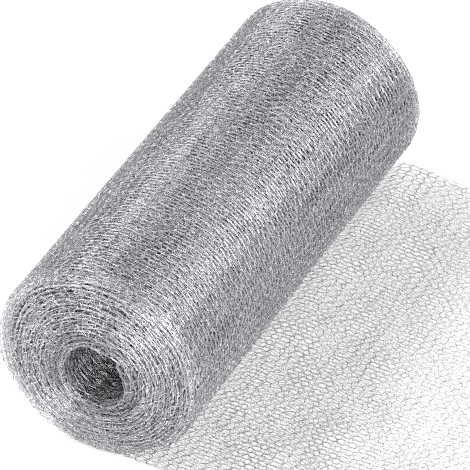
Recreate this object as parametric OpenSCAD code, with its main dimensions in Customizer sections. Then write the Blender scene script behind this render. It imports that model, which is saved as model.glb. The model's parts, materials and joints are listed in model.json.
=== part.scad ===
// A roll of knitted wire mesh. The mesh is knitted as a tube and pressed flat, so one
// turn is a double layer with a fold along each edge. The strip is wound on itself
// with no core, and its outer end runs out from under the roll along the floor.
//
// The winding is drawn as half turns struck from two centres: the half turns on the
// left share one centre, those on the right share another that lies half a turn's
// thickness above it, and each half meets the next one flush. The first turns keep
// the strip's own width and the pull of the winding draws the later ones in, so both
// ends are crowned. The bore is the origin and runs along Y. The loose end runs
// along +X.

/* [Roll] */
// Width that the winding draws the outermost turns in to, short of their shoulders
roll_w = 185; // [100:1:400]
// Diameter of the hole that the winding spindle leaves
bore_d = 24; // [10:1:60]
// Number of full turns on the roll
turns = 17; // [5:1:40]
// Thickness of one wound turn, which is both layers of the flattened tube
turn_t = 1.6; // [0.8:0.1:3]
// Thickness of the plain lip that the start of the strip makes round the hole
lip_t = 0.4; // [0.2:0.1:2]

/* [Ends of the roll] */
// Depth of the groove between two neighbouring folds
groove_d = 1.2; // [0.2:0.1:2.5]
// Radius of the shoulder where the outer turns draw in
shoulder_r = 4; // [1:0.5:8]

/* [Loose end] */
// Length of strip that lies on the floor, from below the bore to its cut edge
loose_l = 225; // [80:1:600]
// Width of the strip where the winding doesn't pull on it
strip_w = 200; // [100:1:440]
// How far the middle of the loose end lies off the middle of the roll
drift = 6; // [-15:0.5:15]
// Length over which the strip widens as it leaves the roll
spread_l = 26; // [5:1:60]
// How much thicker the strip lies than it was wound
spring_t = 0.2; // [0.1:0.1:1]

/* [Hidden] */
$fn = 96;

bore_r = bore_d / 2;
// Outer radii of the two sets of half turns, and the height of the left ones' centre
right_r = bore_r + lip_t + turns * turn_t;
left_r = right_r + turn_t / 2;
left_z = -turn_t / 2;
floor_z = left_z - left_r;

loose_t = turn_t + spring_t;
// Corners of one fold: share of the turn's thickness, share of the groove's depth
fold = [[0, 1], [0.3, 0], [0.7, 0]];

// Half the width of the turn at a radius, in the set of half turns that ends at
// outer_r: the crown falls from the first turn to the last, and a round shoulder
// eases the last ones in
function half_width(r, outer_r) =
    let (
        first_r = outer_r - turns * turn_t,
        wound = max(0, r - first_r) / (outer_r - first_r),
        over = min(shoulder_r, max(0, r - outer_r + shoulder_r)),
        draw_in = shoulder_r - sqrt(shoulder_r ^ 2 - over ^ 2)
    )
    strip_w / 2 - (strip_w - roll_w) / 2 * wound ^ 2 - draw_in;

// One end of the half turns' section, from inside the bore out to the outer radius
function end_line(outer_r) =
    let (first_r = outer_r - turns * turn_t)
    [
        [bore_r - turn_t, half_width(first_r, outer_r) - groove_d],
        for (turn = [0:turns - 1], corner = fold)
            let (r = first_r + (turn + corner[0]) * turn_t)
            [r, half_width(r, outer_r) - corner[1] * groove_d],
        [outer_r, half_width(outer_r, outer_r) - groove_d],
    ];

// A set of half turns on the side that is turned to, about the roll's own axis
module half_turns(outer_r, side) {
    line = end_line(outer_r);
    last = len(line) - 1;
    rotate([90, 0, 0])
        rotate([0, 0, side])
            rotate_extrude(angle = 180)
                polygon(concat(line, [for (i = [last:-1:0]) [line[i].x, -line[i].y]]));
}

// The wound turns, with the bore cut through both sets of halves
module winding() {
    difference() {
        union() {
            half_turns(right_r, -90);
            translate([0, 0, left_z]) half_turns(left_r, 90);
        }
        rotate([90, 0, 0]) cylinder(r = bore_r, h = 2 * (strip_w + roll_w), center = true);
    }
}

// The strip on the floor: it leaves the outer left turn flush, spreads to its own
// width and keeps the round fold along both edges
module loose_end() {
    near_y = drift - strip_w / 2;
    far_y = drift + strip_w / 2;
    inset = loose_t / 2;
    start_y = half_width(left_r, left_r) - groove_d;
    translate([0, 0, floor_z]) {
        linear_extrude(loose_t)
            polygon([
                [0, -start_y], [spread_l, near_y + inset], [loose_l, near_y + inset],
                [loose_l, far_y - inset], [spread_l, far_y - inset], [0, start_y],
            ]);
        for (edge_y = [near_y + inset, far_y - inset])
            translate([spread_l, edge_y, inset])
                rotate([0, 90, 0]) cylinder(d = loose_t, h = loose_l - spread_l);
    }
}

module mesh_roll() {
    color([0.66, 0.68, 0.70]) {
        winding();
        loose_end();
    }
}

mesh_roll();
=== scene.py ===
import sys
import json
import logging
import math
from dataclasses import dataclass, field
from enum import Enum

import bmesh
import bpy
import numpy as np
from mathutils import Matrix, Vector


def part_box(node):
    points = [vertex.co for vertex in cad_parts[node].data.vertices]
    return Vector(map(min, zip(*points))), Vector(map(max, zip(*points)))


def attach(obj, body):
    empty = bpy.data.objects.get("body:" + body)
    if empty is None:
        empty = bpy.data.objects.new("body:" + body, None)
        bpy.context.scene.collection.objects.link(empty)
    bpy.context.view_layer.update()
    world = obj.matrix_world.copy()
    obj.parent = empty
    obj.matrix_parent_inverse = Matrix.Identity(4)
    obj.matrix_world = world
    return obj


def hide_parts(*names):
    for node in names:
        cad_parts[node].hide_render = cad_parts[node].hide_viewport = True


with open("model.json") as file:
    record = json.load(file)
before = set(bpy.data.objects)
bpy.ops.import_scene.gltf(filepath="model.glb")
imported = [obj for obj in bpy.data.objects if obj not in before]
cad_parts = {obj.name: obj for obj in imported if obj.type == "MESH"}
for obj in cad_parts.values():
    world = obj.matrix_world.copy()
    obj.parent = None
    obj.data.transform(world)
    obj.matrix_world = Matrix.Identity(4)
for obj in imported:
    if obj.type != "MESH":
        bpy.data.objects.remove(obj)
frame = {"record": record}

LOG = logging.getLogger("mesh_roll")
CAD_NODE = "mesh_roll"
BODY = "root"
MM = 0.001

Triple = tuple[float, float, float]
Pair = tuple[float, float]


class Wales(Enum):
    """Which part of each course of the flattened tube a stretch of mesh shows."""

    ALL = "all"
    OUTER = "outer"
    INNER = "inner"
    NEAR_FOLD = "near_fold"
    FAR_FOLD = "far_fold"


@dataclass(frozen=True)
class RollSizes:
    """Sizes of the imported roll, in metres, read from its frame.

    The left half turns share a centre on the bore's axis but half a turn lower than the
    right half turns' centre, which is the origin.
    """

    left_r: float
    right_r: float
    left_z: float
    floor_z: float
    turn_t: float
    turns: int
    half_w: float
    loose_l: float
    near_y: float
    far_y: float

    @classmethod
    def from_frame(cls, record: dict) -> "RollSizes":
        """Reads the sizes from the CAD node's box and the bore mount.

        Args:
            record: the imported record.

        Returns:
            The roll's sizes in metres.
        """
        low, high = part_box(CAD_NODE)
        bore = next(m for m in record["mounts"] if m["name"] == "bore")
        bore_r = bore["dims"]["r_mm"] * MM
        # The bore's ends lie this far in from the crests of the folds
        groove = 1.2 * MM
        right_r = high.z
        left_z = (low.z + high.z) / 2
        left_r = (high.z - low.z) / 2
        # left_z lies halfway down one turn's thickness below the origin
        turn_t = left_r - right_r - left_z
        half_w = bore["dims"]["length_mm"] * MM / 2 + groove
        return cls(
            left_r=left_r,
            right_r=right_r,
            left_z=left_z,
            floor_z=low.z,
            turn_t=turn_t,
            turns=int((right_r - bore_r) / turn_t),
            half_w=half_w,
            loose_l=high.x,
            near_y=high.y - 2 * half_w,
            far_y=high.y,
        )


@dataclass(frozen=True)
class Ripple:
    """A wave over the strip, by the distance along and across it that turns it a radian."""

    along: float
    across: float
    phase: float = 0.0

    def at(self, along: np.ndarray, across: np.ndarray) -> np.ndarray:
        """Returns the wave's height, from -1 to 1, at each place."""
        return np.sin(along / self.along + across / self.across + self.phase)


@dataclass(frozen=True)
class Knit:
    """How the wire is knitted: plain loops on a tube that is pressed flat.

    A loop's reach and lean are shares of a course and of a wale, and the more square it
    is, the straighter its legs run. The wire dips in and out of the tube's wall by
    `bulge`. Between the round folds the two layers lie closer together, by the share
    `middle`, and they close in over about `fold_run`.

    Whole patches of loops sway together, and around the tube by the share `across` of
    that. Each course wanders, each loop is uneven, and the wire itself is shaken a bit,
    with random draws `wander_pitch`, `loop_pitch` and `shake_pitch` wales apart. The two
    layers lie out of line with each other by the shares `slip` of a course and of a
    wale, except at the folds. The higher `slip_rate` is, the closer to the folds the
    whole of the slip is reached.
    """

    wales: int = 100
    course: float = 4.04 * MM
    wire_r: float = 0.115 * MM
    reach: float = 0.60
    lean: float = 0.19
    square: float = 0.15
    bulge: float = 0.12 * MM
    fold_r: float = 0.62 * MM
    middle: float = 0.62
    fold_run: float = 2.5 * MM
    points: int = 6
    sway: float = 0.5 * MM
    sways: tuple[Ripple, Ripple] = (
        Ripple(7.5 * MM, 6.1 * MM),
        Ripple(4.9 * MM, -8.4 * MM, 1.0),
    )
    sway_around: Ripple = Ripple(6.3 * MM, -7.2 * MM, 2.0)
    across: float = 0.45
    wander: float = 0.35 * MM
    wander_depth: float = 0.0
    wander_pitch: float = 5.0
    uneven: float = 0.17
    loop_pitch: float = 0.5
    shake: float = 0.08 * MM
    shake_depth: float = 0.06 * MM
    shake_pitch: float = 0.34
    slip: Pair = (0.0, 0.5)
    slip_rate: float = 3.0


WOUND_KNIT = Knit()
COARSE_KNIT = Knit(points=5)
# The folds that show most are knitted closer, to stand for the turns seen between them
NEAR_FOLD_KNIT = Knit(
    course=2.53 * MM,
    wire_r=0.08 * MM,
    reach=0.87,
    lean=0.15,
    fold_r=0.7 * MM,
    sway=0.3 * MM,
    wander=0.4 * MM,
    wander_depth=0.3 * MM,
    shake_depth=0.12 * MM,
)
FAR_RIM_KNIT = Knit(course=2.02 * MM, reach=1.0, points=5)
# Nothing pulls on the loose end, so its loops are rounder and its layers out of line
LOOSE_KNIT = Knit(
    wire_r=0.085 * MM,
    reach=0.60,
    lean=0.22,
    square=0.0,
    points=8,
    sway=0.3 * MM,
    across=1.0,
    wander=0.2 * MM,
    uneven=0.15,
    shake=0.06 * MM,
    slip=(0.35, 0.3),
)


def eased(share: np.ndarray) -> np.ndarray:
    """Returns a share kept between 0 and 1, which starts and stops gently."""
    share = np.clip(share, 0.0, 1.0)
    return share * share * (3 - 2 * share)


@dataclass
class Winding:
    """How the strip is wound, from the floor up the left side and around to the bore.

    Winding angles are in radians, from the outside inwards. The outer turns are drawn in
    by up to `drawn_in`, with a round shoulder. At the near end their folds stand out by up
    to `standing`, which fades away over `standing_fade` and is greatest at a quarter turn
    less `standing_turn`. The inner turns have settled sideways there, by up to
    `mouth_shift` and down to `mouth_depth`. Both edges are ragged by waves, each given by
    its height, rate and phase over the winding angle. The start of the strip springs into
    the bore as a chord, over the angle `sprung` to each side of `sprung_at`.
    """

    sizes: RollSizes
    shoulder_r: float = 4.0 * MM
    drawn_in: float = 7.5 * MM
    standing: float = 5.2 * MM
    standing_fade: float = 9.0
    standing_turn: float = 0.7
    ragged: tuple[Triple, Triple] = ((0.35 * MM, 2.7, 1.0), (0.25 * MM, 7.3, 0.0))
    mouth_shift: float = 2.4 * MM
    mouth_depth: float = 50.0 * MM
    sprung: float = math.radians(36.0)
    sprung_at: float = math.radians(70.5)
    starts: np.ndarray = field(init=False)

    def __post_init__(self) -> None:
        """Works out how far along the strip each half turn starts."""
        sizes = self.sizes
        radii = []
        for turn in range(sizes.turns):
            radii.append(sizes.left_r - (turn + 0.5) * sizes.turn_t)
            radii.append(sizes.right_r - (turn + 0.5) * sizes.turn_t)
        self.starts = np.concatenate([[0.0], np.cumsum(np.array(radii) * math.pi)])

    def angle(self, along: np.ndarray) -> np.ndarray:
        """Returns the winding angle at each distance along the strip."""
        wound = np.maximum(-along, 0.0)
        return np.interp(wound, self.starts, np.arange(len(self.starts)) * math.pi)

    def place(self, along: np.ndarray, depth: np.ndarray) -> tuple[np.ndarray, np.ndarray]:
        """Places points of the strip in the roll's cross-section.

        Args:
            along: distance along the strip, negative where it is wound.
            depth: distance in from the strip's outer side, which lies on the floor.

        Returns:
            The x and z of each point.
        """
        sizes = self.sizes
        theta = self.angle(along)
        half = np.minimum(theta // math.pi, 2 * sizes.turns - 1)
        left = half % 2 == 0
        arc = theta - half * math.pi
        outer_r = np.where(left, sizes.left_r, sizes.right_r)
        radius = outer_r - (half // 2) * sizes.turn_t - depth
        side = np.where(left, -1.0, 1.0)
        x = side * np.sin(arc) * radius
        z = side * np.cos(arc) * radius + np.where(left, sizes.left_z, 0.0)
        flat = along >= 0
        return np.where(flat, along, x), np.where(flat, sizes.floor_z + depth, z)

    def half_width(self, theta: np.ndarray) -> np.ndarray:
        """Works out how wide the wound strip is.

        Args:
            theta: winding angles.

        Returns:
            Half the strip's width at each of them.
        """
        sizes = self.sizes
        turn = theta / (2 * math.pi)
        over = np.clip(self.shoulder_r - turn * sizes.turn_t, 0.0, self.shoulder_r)
        draw_in = self.shoulder_r - np.sqrt(self.shoulder_r**2 - over**2)
        return sizes.half_w - self.drawn_in * (1 - turn / sizes.turns) ** 2 - draw_in

    def edges(self, along: np.ndarray) -> tuple[np.ndarray, np.ndarray]:
        """Finds where the wound strip's two folds lie.

        Args:
            along: distance along the strip.

        Returns:
            The y of the near fold and of the far fold.
        """
        theta = self.angle(along)
        half_width = self.half_width(theta)
        ragged = sum(height * np.sin(rate * theta + phase) for height, rate, phase in self.ragged)
        leaning = (1 + np.sin(theta + self.standing_turn)) / 2
        standing = self.standing * np.exp(-theta / self.standing_fade) * leaning
        return ragged - half_width - standing, ragged + half_width

    def springing(self, along: np.ndarray) -> np.ndarray:
        """Works out how far the start of the strip springs into the bore.

        Args:
            along: distance along the strip.

        Returns:
            How far the strip leaves the bore's wall at each distance.
        """
        sizes = self.sizes
        arc = self.angle(along) - (2 * sizes.turns - 1) * math.pi
        wall = sizes.right_r - sizes.turns * sizes.turn_t
        off = np.clip(arc - self.sprung_at, -self.sprung, self.sprung)
        return wall * (1 - math.cos(self.sprung) / np.cos(off))

    def settled(self, points: np.ndarray) -> np.ndarray:
        """Moves points sideways as the inner turns have settled at the near end.

        Args:
            points: an array of points in space.

        Returns:
            The moved points.
        """
        sizes = self.sizes
        x, y, z = points[..., 0], points[..., 1], points[..., 2]
        inward = np.clip(1 - (x * x + z * z) / sizes.left_r**2, 0.0, 1.0)
        mouth = np.clip((-y - sizes.half_w) / self.mouth_depth + 1, 0.0, 1.0)
        return np.stack([x + self.mouth_shift * inward * mouth, y, z], axis=-1)


@dataclass
class LooseEnd:
    """How the loose end lies: it spreads to its own width and rides in shallow waves.

    Its far edge flares by `flare`, over `flare_run` about `flare_at`, and both edges
    wave, the near one half as far as the far one. It rides `lift` off the floor, give or
    take `lift_wave`.
    """

    sizes: RollSizes
    spread: float = 30.0 * MM
    near_inset: float = 0.6 * MM
    far_inset: float = 1.2 * MM
    flare: float = 3.0 * MM
    flare_at: float = 28.0 * MM
    flare_run: float = 16.0 * MM
    wave: float = 0.8 * MM
    wave_run: float = 19.0 * MM
    lift: float = 0.35 * MM
    lift_wave: float = 0.16 * MM
    lift_ripples: tuple[Ripple, Ripple] = (
        Ripple(23.0 * MM, 41.0 * MM),
        Ripple(11.0 * MM, -29.0 * MM, 1.3),
    )

    def edges(self, along: np.ndarray) -> tuple[np.ndarray, np.ndarray]:
        """Finds where the loose end's two folds lie.

        Args:
            along: distance along the strip.

        Returns:
            The y of the near fold and of the far fold.
        """
        flare = self.flare * np.exp(-((along - self.flare_at) / self.flare_run) ** 2)
        wave = self.wave * np.sin(along / self.wave_run)
        near = self.sizes.near_y + self.near_inset + wave / 2
        far = self.sizes.far_y - self.far_inset + flare + wave
        return near, far

    def riding(self, along: np.ndarray, across: np.ndarray) -> np.ndarray:
        """Works out how far the loose end rides up off the floor.

        Args:
            along: distance along the strip.
            across: the y of each point.

        Returns:
            The rise of each point.
        """
        ripple = sum(wave.at(along, across) for wave in self.lift_ripples)
        share = np.clip(along / self.spread, 0.0, 1.0)
        return share * (self.lift + self.lift_wave * ripple)


@dataclass
class Strip:
    """The flattened tube of mesh, which turns a place in the knit into a place in space."""

    sizes: RollSizes
    knit: Knit
    winding: Winding = field(init=False)
    loose_end: LooseEnd = field(init=False)

    def __post_init__(self) -> None:
        """Lays the strip out, wound and loose."""
        self.winding = Winding(self.sizes)
        self.loose_end = LooseEnd(self.sizes)

    def half_turns(self, outer: int, inner: int) -> range:
        """Finds the courses of some half turns, which are counted from the outside.

        Args:
            outer: the half turn that they start with.
            inner: the half turn that they stop short of.

        Returns:
            The courses, which are below zero where the strip is wound.
        """
        starts = self.winding.starts / self.knit.course
        return range(-int(starts[inner]), -int(starts[outer]))

    def edges(self, along: np.ndarray) -> tuple[np.ndarray, np.ndarray]:
        """Finds where the strip's two folds lie, wound or loose.

        Args:
            along: distance along the strip.

        Returns:
            The y of the near fold and of the far fold.
        """
        share = eased(along / self.loose_end.spread)
        wound_near, wound_far = self.winding.edges(along)
        loose_near, loose_far = self.loose_end.edges(along)
        near = wound_near * (1 - share) + loose_near * share
        far = wound_far * (1 - share) + loose_far * share
        return near, far

    def section(
        self, along: np.ndarray, around: np.ndarray, out: np.ndarray
    ) -> tuple[np.ndarray, np.ndarray]:
        """Places points in the flattened tube's cross-section.

        Args:
            along: distance along the strip.
            around: share of the way round the flattened tube, from the near fold's end
                of the outer layer.
            out: distance out of the tube's wall.

        Returns:
            The y of each point, and its depth in from the strip's outer side.
        """
        knit = self.knit
        near, far = self.edges(along)
        fold_r = knit.fold_r
        straight = far - near - 2 * fold_r
        girth = 2 * straight + 2 * math.pi * fold_r
        place = (around % 1.0) * girth
        turn = math.pi * fold_r
        far_arc = np.clip((place - straight) / fold_r, 0.0, math.pi)
        near_arc = np.clip((place - 2 * straight - turn) / fold_r, 0.0, math.pi)
        arc = far_arc + near_arc
        run = np.clip(place, 0.0, straight) - np.clip(place - straight - turn, 0.0, straight)
        reach = fold_r + out
        across = near + fold_r + run + reach * np.sin(arc)
        from_fold = np.maximum(np.minimum(across - near, far - across), 0.0)
        pinch = knit.middle + (1 - knit.middle) * np.exp(-from_fold / knit.fold_run)
        return across, self.sizes.turn_t / 2 - reach * np.cos(arc) * pinch

    def shape(self, along: np.ndarray, around: np.ndarray, out: np.ndarray) -> np.ndarray:
        """Places points that are given in the knit.

        Args:
            along: distance along the strip.
            around: share of the way round the flattened tube.
            out: distance out of the tube's wall.

        Returns:
            An array of points in space.
        """
        across, depth = self.section(along, around, out)
        depth = depth + self.winding.springing(along) * eased(depth / self.sizes.turn_t)
        depth = depth + self.loose_end.riding(along, across) * (along > 0)
        x, z = self.winding.place(along, depth)
        return self.winding.settled(np.stack([x, across, z], axis=-1))


class Nodes:
    """A small helper that builds one material's nodes."""

    def __init__(self, name: str) -> None:
        """Starts a material with one principled shader.

        Args:
            name: the material's name.
        """
        self.material = bpy.data.materials.new(name)
        self.material.use_nodes = True
        self.tree = self.material.node_tree
        self.shader = self.tree.nodes["Principled BSDF"]

    def add(self, kind: str, **values: float | Triple) -> bpy.types.Node:
        """Adds a node and sets its inputs.

        Args:
            kind: the node's type.
            values: input names and their values.

        Returns:
            The new node.
        """
        node = self.tree.nodes.new(kind)
        for key, value in values.items():
            node.inputs[key].default_value = value
        return node

    def maths(self, kind: str, operation: str) -> bpy.types.Node:
        """Adds a node that works out a value.

        Args:
            kind: the node's type.
            operation: how it works the value out.

        Returns:
            The new node.
        """
        node = self.tree.nodes.new(kind)
        node.operation = operation
        return node

    def ramp(self, places: Pair, colours: tuple[Triple, Triple]) -> bpy.types.Node:
        """Adds a colour ramp with two stops.

        Args:
            places: where its stops lie, from 0 to 1.
            colours: the colour at each of them.

        Returns:
            The new node.
        """
        node = self.tree.nodes.new("ShaderNodeValToRGB")
        for element, place, colour in zip(node.color_ramp.elements, places, colours):
            element.position = place
            element.color = (*colour, 1.0)
        return node

    def slope(self, direction: Triple, span: Pair, values: Pair) -> bpy.types.Node:
        """Adds a value that runs evenly between two places and stays level beyond them.

        Args:
            direction: the direction that distance is measured in.
            span: the distances at which the value starts and stops changing.
            values: the value at each of them.

        Returns:
            The new node.
        """
        coords = self.add("ShaderNodeTexCoord")
        distance = self.maths("ShaderNodeVectorMath", "DOT_PRODUCT")
        self.link(coords, "Object", distance, 0)
        distance.inputs[1].default_value = direction
        node = self.add("ShaderNodeMapRange")
        sockets = ("From Min", "From Max", "To Min", "To Max")
        for socket, value in zip(sockets, (*span, *values)):
            node.inputs[socket].default_value = value
        self.link(distance, "Value", node, "Value")
        return node

    def link(
        self, source: bpy.types.Node, output: str, target: bpy.types.Node, socket: str | int
    ) -> None:
        """Links one node's output to another's input."""
        self.tree.links.new(source.outputs[output], target.inputs[socket])


@dataclass(frozen=True)
class WireFinish:
    """Bright drawn stainless wire, with darker and duller stretches.

    Its tone drifts in patches, and a fine grain varies its gloss. Along the loose end its
    colour carries painted shade and painted light: it is scaled by the factors `roll_shade_ramp`,
    darker near the roll, where the roll's shade falls, and lighter further out, over
    `roll_shade_span`, which is measured along X plus the share `roll_shade_across` of Y. The
    roll's
    lowest wire carries painted shade: it is darker by the factor `low`, which wears off
    over the heights `low_shade_span`.
    """

    name: str = "bright_wire"
    dark: Triple = (0.55, 0.558, 0.575)
    light: Triple = (0.63, 0.64, 0.66)
    tone_stops: Pair = (0.3, 0.62)
    smooth: float = 0.39
    dull: float = 0.5
    patch_scale: float = 420.0
    grain_scale: float = 5200.0
    grain_strength: float = 0.15
    grain_depth: float = 0.02 * MM
    # Painted shade near the roll and painted light further out: factors on the loose wire's colour
    roll_shade_ramp: Pair = (1.0, 1.0)
    roll_shade_span: Pair = (20.0 * MM, 140.0 * MM)
    roll_shade_across: float = 0.45
    # Painted shade: the roll's lowest wire, near the floor, is darkened by this factor
    low: float = 0.75
    low_shade_span: Pair = (-39.0 * MM, 10.0 * MM)

    def build(self) -> bpy.types.Material:
        """Builds the material.

        Returns:
            A metal whose colour and gloss drift along the wire.
        """
        nodes = Nodes(self.name)
        coords = nodes.add("ShaderNodeTexCoord")
        patches = nodes.add("ShaderNodeTexNoise", Scale=self.patch_scale, Detail=3.0)
        nodes.link(coords, "Object", patches, "Vector")
        grain = nodes.add("ShaderNodeTexNoise", Scale=self.grain_scale, Detail=2.0)
        nodes.link(coords, "Object", grain, "Vector")
        tone = nodes.ramp(self.tone_stops, (self.dark, self.light))
        nodes.link(patches, "Fac", tone, "Fac")
        rough = nodes.add("ShaderNodeMapRange")
        rough.inputs["To Min"].default_value = self.smooth
        rough.inputs["To Max"].default_value = self.dull
        nodes.link(grain, "Fac", rough, "Value")
        bump = nodes.add("ShaderNodeBump", Strength=self.grain_strength, Distance=self.grain_depth)
        nodes.link(grain, "Fac", bump, "Height")
        # Painted shade near the roll, painted light further along the loose end
        roll_shade_ramp = nodes.slope((1.0, self.roll_shade_across, 0.0), self.roll_shade_span, self.roll_shade_ramp)
        # Painted shade on the roll's lowest wire
        low = nodes.slope((0.0, 0.0, 1.0), self.low_shade_span, (self.low, 1.0))
        factor = nodes.maths("ShaderNodeMath", "MULTIPLY")
        nodes.link(roll_shade_ramp, "Result", factor, 0)
        nodes.link(low, "Result", factor, 1)
        shaded = nodes.maths("ShaderNodeVectorMath", "SCALE")
        nodes.link(tone, "Color", shaded, "Vector")
        nodes.link(factor, "Value", shaded, "Scale")
        nodes.shader.inputs["Metallic"].default_value = 1.0
        nodes.link(shaded, "Vector", nodes.shader, "Base Color")
        nodes.link(rough, "Result", nodes.shader, "Roughness")
        nodes.link(bump, "Normal", nodes.shader, "Normal")
        return nodes.material


BRIGHT_WIRE = WireFinish()
# Painted shade: the same wire as bright_wire, made much darker where it lies loose on the floor
SHADED_LOOSE_WIRE = WireFinish(
    name="loose_wire_painted_shade",
    dark=(0.13, 0.132, 0.142),
    light=(0.31, 0.314, 0.33),
    roll_shade_ramp=(0.45, 2.1),
    low=1.0,
)
# Painted light: the same wire, made lighter on the near folds, where light falls on the near end
LIT_FOLD_WIRE = WireFinish(
    name="fold_wire_painted_light",
    dark=(0.66, 0.67, 0.69),
    light=(0.85, 0.86, 0.88),
    low=0.85,
)


@dataclass(frozen=True)
class PackedFinish:
    """Turns of wire seen through each other, with painted shade: darkened streaks on black gaps.
    """

    name: str = "packed_wire_painted_shade"
    # Painted shade: nearly black, for the shade deep between the packed turns
    gap_shade: Triple = (0.006, 0.006, 0.006)
    # Painted shade: the inner turns' wire, darker than the outer wire
    wire: Triple = (0.36, 0.365, 0.38)
    wire_stops: Pair = (0.46, 0.62)
    streak_scale: Triple = (450.0, 2600.0, 1.0)
    streak_strength: float = 0.8
    streak_depth: float = 0.4 * MM
    roughness: float = 0.4
    anisotropy: float = 0.9

    def build(self) -> bpy.types.Material:
        """Builds the material.

        Returns:
            A streaked metal that follows the piece's own turning direction.
        """
        nodes = Nodes(self.name)
        coords = nodes.add("ShaderNodeUVMap")
        stretch = nodes.add("ShaderNodeMapping", Scale=self.streak_scale)
        nodes.link(coords, "UV", stretch, "Vector")
        streaks = nodes.add("ShaderNodeTexNoise", Scale=1.0, Detail=2.0)
        nodes.link(stretch, "Vector", streaks, "Vector")
        tone = nodes.ramp(self.wire_stops, (self.gap_shade, self.wire))
        nodes.link(streaks, "Fac", tone, "Fac")
        bump = nodes.add(
            "ShaderNodeBump", Strength=self.streak_strength, Distance=self.streak_depth
        )
        nodes.link(streaks, "Fac", bump, "Height")
        along = nodes.add("ShaderNodeTangent")
        along.direction_type = "UV_MAP"
        nodes.link(along, "Tangent", nodes.shader, "Tangent")
        nodes.shader.inputs["Metallic"].default_value = 1.0
        nodes.shader.inputs["Roughness"].default_value = self.roughness
        nodes.shader.inputs["Anisotropic"].default_value = self.anisotropy
        nodes.link(tone, "Color", nodes.shader, "Base Color")
        nodes.link(bump, "Normal", nodes.shader, "Normal")
        return nodes.material


def add_piece(name: str, mesh: bpy.types.Mesh, material: bpy.types.Material) -> bpy.types.Object:
    """Adds a finished mesh as a piece of the roll.

    Args:
        name: the piece's name.
        mesh: its mesh, in place.
        material: its material.

    Returns:
        The piece, riding on the root body.
    """
    mesh.name = name
    mesh.materials.clear()
    mesh.materials.append(material)
    mesh.polygons.foreach_set("use_smooth", [True] * len(mesh.polygons))
    piece = bpy.data.objects.new(name, mesh)
    bpy.context.scene.collection.objects.link(piece)
    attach(piece, BODY)
    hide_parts(CAD_NODE)
    mesh.calc_loop_triangles()
    LOG.info("%s: %d triangles", name, len(mesh.loop_triangles))
    return piece


@dataclass(frozen=True)
class WireSection:
    """The few-sided section that a wire is drawn with.

    Its corners lie further out than the wire's radius, by the factor `corner_share`, so
    that it shows about as wide as a round wire does.
    """

    wire_r: float
    sides: int = 3
    corner_share: float = 1.2

    def build(self) -> bpy.types.Object:
        """Makes the section.

        Returns:
            A curve object in the shape of the section.
        """
        curve = bpy.data.curves.new("wire_section", "CURVE")
        spline = curve.splines.new("POLY")
        spline.points.add(self.sides - 1)
        corner_r = self.wire_r * self.corner_share
        for corner, point in enumerate(spline.points):
            angle = corner * 2 * math.pi / self.sides
            point.co = (corner_r * math.cos(angle), corner_r * math.sin(angle), 0.0, 1.0)
        spline.use_cyclic_u = True
        section = bpy.data.objects.new("wire_section", curve)
        bpy.context.scene.collection.objects.link(section)
        return section

    def crease(self, mesh: bpy.types.Mesh) -> None:
        """Sharpens the rings round the wires, so that each straight bit shades as round.

        Args:
            mesh: the mesh of the wires, whose points lie ring after ring.
        """
        ends = np.empty(2 * len(mesh.edges), dtype=np.int32)
        mesh.edges.foreach_get("vertices", ends)
        rings = ends.reshape(-1, 2) // self.sides
        mesh.edges.foreach_set("use_edge_sharp", rings[:, 0] == rings[:, 1])


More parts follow.
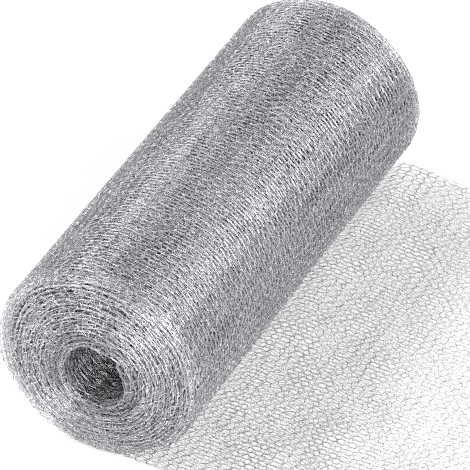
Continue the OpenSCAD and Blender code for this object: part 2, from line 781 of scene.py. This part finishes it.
@dataclass
class KnittedStretch:
    """A stretch of knitted mesh, from one course along the strip to another.

    Where its courses don't close on themselves, they reach `fold_wales` past a fold.
    """

    name: str
    strip: Strip
    courses: range
    wales: Wales
    finish: WireFinish
    fold_wales: float = 1.5

    def wale_range(self) -> tuple[float, float, bool]:
        """Finds the wales that show.

        Returns:
            The first and last wale, and whether each course closes on itself.
        """
        whole = self.strip.knit.wales
        half = whole / 2
        extra = self.fold_wales
        return {
            Wales.ALL: (0.0, float(whole), True),
            Wales.OUTER: (-extra, half + extra, False),
            Wales.INNER: (half - extra, whole + extra, False),
            Wales.NEAR_FOLD: (whole - extra, whole + extra, False),
            Wales.FAR_FOLD: (half - extra, half + extra, False),
        }[self.wales]

    def lines(self, seed: int) -> list[np.ndarray]:
        """Works out the line of the wire in every course.

        Args:
            seed: what the stretch's random draws start from.

        Returns:
            One array of points for each course.
        """
        points = self.strip.knit.points
        first, last, closed = self.wale_range()
        steps = int(round((last - first) * points)) + (0 if closed else 1)
        wale = first + np.arange(steps) / points
        rng = np.random.default_rng(seed)
        return [self.line(course, wale, rng) for course in self.courses]

    def line(self, course: int, wale: np.ndarray, rng: np.random.Generator) -> np.ndarray:
        """Works out the line of the wire in one course.

        Args:
            course: the course.
            wale: the places along it, in wales.
            rng: the source of the random draws.

        Returns:
            An array of points in space.
        """
        knit = self.strip.knit
        wander = self.noise(rng, wale, knit.wander_pitch, 2)
        loop = self.noise(rng, wale, knit.loop_pitch, 2)
        shake = self.noise(rng, wale, knit.shake_pitch, 3)
        wander_out = self.noise(rng, wale, knit.wander_pitch, 1)[0]

        phase = wale * 2 * math.pi
        place = knit.course * course
        girth = 4 * self.strip.sizes.half_w
        place_round = wale / knit.wales * girth
        sway = sum(ripple.at(place, place_round) for ripple in knit.sways)
        sway_around = knit.sway_around.at(place, place_round)
        layer = np.clip(knit.slip_rate * np.sin(2 * math.pi * wale / knit.wales), -1.0, 1.0)

        reach = knit.reach * (1 + knit.uneven * loop[0])
        loops = np.cos(phase) - knit.square * np.cos(3 * phase)
        along = knit.course * (course + reach / (1 - knit.square) * loops)
        along = along + knit.sway * sway + knit.wander * wander[0] + knit.shake * shake[0]
        along = along + knit.course * knit.slip[0] / 2 * layer

        lean = knit.lean * (1 + knit.uneven * loop[1])
        around = (wale + lean * np.sin(2 * phase) + knit.slip[1] / 2 * layer) / knit.wales
        moved = knit.across * knit.sway * sway_around
        moved = moved + knit.wander * wander[1] + knit.shake * shake[1]
        around = around + moved / girth

        out = -knit.bulge * np.cos(2 * phase) + knit.shake_depth * shake[2]
        out = out + knit.wander_depth * wander_out
        return self.strip.shape(along, around, out)

    @staticmethod
    def noise(rng: np.random.Generator, wale: np.ndarray, pitch: float, rows: int) -> np.ndarray:
        """Draws smooth random rows along a course.

        Args:
            rng: the source of the draws.
            wale: the places along the course, in wales.
            pitch: how many wales apart the draws are.
            rows: how many rows to draw.

        Returns:
            One row of values near zero for each row asked for.
        """
        place = (wale - wale[0]) / pitch
        draws = rng.normal(size=(rows, int(place[-1]) + 2))
        return np.stack([np.interp(place, np.arange(draws.shape[1]), row) for row in draws])

    def build(self, material: bpy.types.Material, seed: int) -> bpy.types.Object:
        """Makes the wires of the stretch as one mesh.

        Args:
            material: the stretch's finish, built.
            seed: what the stretch's random draws start from.

        Returns:
            The new piece.
        """
        curve = bpy.data.curves.new(self.name, "CURVE")
        curve.dimensions = "3D"
        curve.bevel_mode = "OBJECT"
        section = WireSection(self.strip.knit.wire_r)
        profile = section.build()
        curve.bevel_object = profile
        curve.use_fill_caps = True
        closed = self.wale_range()[2]
        for line in self.lines(seed):
            spline = curve.splines.new("POLY")
            spline.points.add(len(line) - 1)
            spline.points.foreach_set("co", np.c_[line, np.ones(len(line))].ravel())
            spline.use_cyclic_u = closed
        holder = bpy.data.objects.new(self.name, curve)
        bpy.context.scene.collection.objects.link(holder)
        bpy.context.view_layer.update()
        drawn = holder.evaluated_get(bpy.context.evaluated_depsgraph_get())
        mesh = bpy.data.meshes.new_from_object(drawn)
        for done in (holder, profile):
            shape = done.data
            bpy.data.objects.remove(done)
            bpy.data.curves.remove(shape)
        section.crease(mesh)
        return add_piece(self.name, mesh, material)


@dataclass
class PackedTurns:
    """The closely packed inner turns, as one body with a ridge for each turn on its ends.

    Its outside lies `buried` below the roll's, its ridges stand `set_in` behind the folds
    and `ridge` proud of the grooves, and it stays `lining` clear of the bore's wall.
    Points of its two halves that lie within `merge` of each other are joined.
    """

    winding: Winding
    buried: float = 4.1 * MM
    set_in: float = 2.2 * MM
    ridge: float = 1.0 * MM
    lining: float = 0.9 * MM
    merge: float = 0.01 * MM
    steps: int = 64

    def end_line(self, outer_r: float) -> list[Pair]:
        """Draws one end of a set of half turns.

        Args:
            outer_r: the half turns' outer radius.

        Returns:
            Radius and half width of each corner, from the bore outwards.
        """
        sizes = self.winding.sizes
        first = outer_r - sizes.turns * sizes.turn_t + self.lining
        last = outer_r - self.buried
        radii = [first]
        for half_turn in range(1, 2 * sizes.turns):
            radius = outer_r - (sizes.turns - half_turn / 2) * sizes.turn_t
            if first < radius < last:
                radii.append(radius)
        radii.append(last)
        line = []
        for radius in radii:
            turn = (outer_r - radius) / sizes.turn_t
            crest = round(2 * turn) % 2 == 1
            width = float(self.winding.half_width(np.array(turn * 2 * math.pi)))
            line.append((radius, width - self.set_in - (0.0 if crest else self.ridge)))
        return line

    def turn_halves(
        self, shape: bmesh.types.BMesh, outer_r: float, centre_z: float, side: float
    ) -> None:
        """Turns one set of half turns.

        Args:
            shape: the mesh that they are added to.
            outer_r: their outer radius.
            centre_z: the height of their centre.
            side: 1 if the turning starts above the centre, or -1 if below.
        """
        end = self.end_line(outer_r)
        outline = end + [(radius, -width) for radius, width in reversed(end)]
        corners = [shape.verts.new((0.0, y, centre_z + side * radius)) for radius, y in outline]
        edges = [shape.edges.new(pair) for pair in zip(corners, corners[1:] + corners[:1])]
        bmesh.ops.spin(
            shape,
            geom=corners + edges,
            cent=(0.0, 0.0, centre_z),
            axis=(0.0, 1.0, 0.0),
            angle=math.pi,
            steps=self.steps,
        )

    def build(self, material: bpy.types.Material) -> bpy.types.Object:
        """Turns the body.

        Args:
            material: its material.

        Returns:
            The new piece.
        """
        sizes = self.winding.sizes
        shape = bmesh.new()
        layer = shape.loops.layers.uv.new("turning")
        self.turn_halves(shape, sizes.left_r, sizes.left_z, -1.0)
        self.turn_halves(shape, sizes.right_r, 0.0, 1.0)
        bmesh.ops.remove_doubles(shape, verts=shape.verts, dist=self.merge)
        for vert in shape.verts:
            vert.co = self.winding.settled(np.array(vert.co))
        bmesh.ops.recalc_face_normals(shape, faces=shape.faces)
        for face in shape.faces:
            for loop in face.loops:
                point = loop.vert.co
                radius = math.hypot(point.x, point.z)
                angle = math.atan2(point.z, point.x)
                loop[layer].uv = (angle * radius, point.y + radius)
        mesh = bpy.data.meshes.new("packed_turns")
        shape.to_mesh(mesh)
        shape.free()
        return add_piece("packed_turns", mesh, material)


@dataclass
class MeshRoll:
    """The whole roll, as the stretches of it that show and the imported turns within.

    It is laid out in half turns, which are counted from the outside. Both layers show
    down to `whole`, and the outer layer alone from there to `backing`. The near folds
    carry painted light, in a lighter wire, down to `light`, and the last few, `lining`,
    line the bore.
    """

    sizes: RollSizes
    whole: int = 4
    backing: int = 6
    # The near folds down to this half turn get the wire with painted light
    light: int = 26
    lining: int = 2
    first_seed: int = 11

    def stretches(self) -> list[KnittedStretch]:
        """Lays out the knitted stretches.

        Returns:
            The stretches, from the loose end to the bore.
        """
        wound = Strip(self.sizes, WOUND_KNIT)
        coarse = Strip(self.sizes, COARSE_KNIT)
        near = Strip(self.sizes, NEAR_FOLD_KNIT)
        rim = Strip(self.sizes, FAR_RIM_KNIT)
        loose = Strip(self.sizes, LOOSE_KNIT)
        end = int(self.sizes.loose_l / LOOSE_KNIT.course)
        middle = end // 2
        last = 2 * self.sizes.turns
        whole, backing, light, lining = self.whole, self.backing, self.light, last - self.lining
        rows = [
            ("loose_end_start", loose, range(0, middle), Wales.ALL, SHADED_LOOSE_WIRE),
            ("loose_end_run", loose, range(middle, end), Wales.ALL, SHADED_LOOSE_WIRE),
            ("outer_turn_left", wound, wound.half_turns(0, 1), Wales.ALL, BRIGHT_WIRE),
            ("outer_turn_right", wound, wound.half_turns(1, 2), Wales.ALL, BRIGHT_WIRE),
            ("second_turn_left", coarse, coarse.half_turns(2, 3), Wales.ALL, BRIGHT_WIRE),
            ("second_turn_right", coarse, coarse.half_turns(3, whole), Wales.ALL, BRIGHT_WIRE),
            ("third_turn", coarse, coarse.half_turns(whole, backing), Wales.OUTER, BRIGHT_WIRE),
            # Painted light: the near folds down to `light` take the lightened wire
            ("near_folds", near, near.half_turns(2, light), Wales.NEAR_FOLD, LIT_FOLD_WIRE),
            ("inner_near_folds", near, near.half_turns(light, last), Wales.NEAR_FOLD, BRIGHT_WIRE),
            ("far_folds", coarse, coarse.half_turns(whole, last), Wales.FAR_FOLD, BRIGHT_WIRE),
            ("far_rim", rim, rim.half_turns(0, whole), Wales.FAR_FOLD, BRIGHT_WIRE),
            ("bore_lining", wound, wound.half_turns(lining, last), Wales.INNER, BRIGHT_WIRE),
        ]
        return [KnittedStretch(*row) for row in rows]

    def build(self) -> None:
        """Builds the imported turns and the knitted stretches."""
        wires = {finish: finish.build() for finish in (BRIGHT_WIRE, SHADED_LOOSE_WIRE, LIT_FOLD_WIRE)}
        PackedTurns(Winding(self.sizes)).build(PackedFinish().build())
        for index, stretch in enumerate(self.stretches()):
            stretch.build(wires[stretch.finish], self.first_seed + index)


@dataclass(frozen=True)
class Lamp:
    """One soft lamp, with its level side first in its size and its power in watts."""

    name: str
    place: Triple
    size: Pair
    power: float

    def build(self) -> None:
        """Hangs the lamp so that it faces the roll."""
        light = bpy.data.lights.new(self.name, "AREA")
        light.shape = "RECTANGLE"
        light.size, light.size_y = self.size
        light.energy = self.power
        lamp = bpy.data.objects.new(self.name, light)
        lamp.location = self.place
        lamp.rotation_euler = (-Vector(self.place)).to_track_quat("-Z", "Y").to_euler()
        bpy.context.scene.collection.objects.link(lamp)


@dataclass
class Studio:
    """A plain pale floor that glows a little, three soft lamps and the camera.

    The camera is turned and tilted off the near end. It looks past the middle of the
    strip below the bore, by the shares `aim_right` and `aim_up` of the roll's width, and
    stands `stand_off` widths away. Its lens and sensor are in millimetres.
    """

    sizes: RollSizes
    floor_half: float = 3.0
    floor_gap: float = 0.2 * MM
    floor_tone: float = 0.45
    floor_glow: float = 0.47
    floor_roughness: float = 0.9
    surround: float = 0.16
    lamps: tuple[Lamp, ...] = (
        Lamp("right_strip", (3.03, -0.4, 2.4), (5.0, 1.0), 184.0),
        Lamp("left_strip", (-2.36, -0.4, 3.12), (5.0, 1.0), 222.0),
        Lamp("front_box", (1.8, -3.3, 1.85), (1.8, 1.6), 225.0),
    )
    roll_w: float = 185.0 * MM
    loose_t: float = 1.8 * MM
    turned: float = math.radians(26.9)
    tilted: float = math.radians(38.9)
    aim_right: float = 0.034
    aim_up: float = 0.135
    stand_off: float = 8.745
    lens: float = 329.89787
    sensor: float = 36.0
    clip_end: float = 20.0

    def floor(self) -> None:
        """Lays the floor just under the roll."""
        shape = bmesh.new()
        bmesh.ops.create_grid(shape, x_segments=1, y_segments=1, size=self.floor_half)
        mesh = bpy.data.meshes.new("studio_floor")
        shape.to_mesh(mesh)
        shape.free()
        mesh.transform(Matrix.Translation((0.0, 0.0, self.sizes.floor_z - self.floor_gap)))
        nodes = Nodes("pale_floor")
        nodes.shader.inputs["Base Color"].default_value = (*[self.floor_tone] * 3, 1.0)
        nodes.shader.inputs["Roughness"].default_value = self.floor_roughness
        nodes.shader.inputs["Emission Color"].default_value = (1.0, 1.0, 1.0, 1.0)
        nodes.shader.inputs["Emission Strength"].default_value = self.floor_glow
        mesh.materials.append(nodes.material)
        plane = bpy.data.objects.new("studio_floor", mesh)
        bpy.context.scene.collection.objects.link(plane)

    def world(self) -> None:
        """Sets a pale, even surround."""
        world = bpy.data.worlds.new("surround")
        bpy.context.scene.world = world
        world.use_nodes = True
        back = world.node_tree.nodes["Background"]
        back.inputs["Color"].default_value = (1.0, 1.0, 1.0, 1.0)
        back.inputs["Strength"].default_value = self.surround

    def camera(self) -> None:
        """Places the camera with a long lens, looking down on the roll's near end."""
        level, rise = math.cos(self.tilted), math.sin(self.tilted)
        back = Vector((math.sin(self.turned) * level, -math.cos(self.turned) * level, rise))
        right = Vector((math.cos(self.turned), math.sin(self.turned), 0.0))
        up = back.cross(right)
        base = Vector((0.0, 0.0, self.sizes.floor_z + self.loose_t / 2))
        aim = base + right * (self.aim_right * self.roll_w) + up * (self.aim_up * self.roll_w)
        stand = aim + back * (self.stand_off * self.roll_w)
        data = bpy.data.cameras.new("camera")
        data.sensor_width = self.sensor
        data.lens = self.lens
        data.clip_end = self.clip_end
        camera = bpy.data.objects.new("camera", data)
        facing = Matrix((right, up, back)).transposed().to_4x4()
        camera.matrix_world = Matrix.Translation(stand) @ facing
        bpy.context.scene.collection.objects.link(camera)
        bpy.context.scene.camera = camera

    def build(self) -> None:
        """Sets up the whole studio."""
        self.floor()
        for lamp in self.lamps:
            lamp.build()
        self.world()
        self.camera()
        bpy.context.scene.view_settings.view_transform = "Standard"
        bpy.context.scene.cycles.use_denoising = False


def main() -> None:
    """Builds the studio and the roll in it."""
    logging.basicConfig(level=logging.INFO, format="%(name)s %(message)s", stream=sys.stdout)
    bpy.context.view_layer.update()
    sizes = RollSizes.from_frame(frame["record"])
    LOG.info("%s", sizes)
    Studio(sizes).build()
    MeshRoll(sizes).build()


if __name__ == "__main__":
    main()
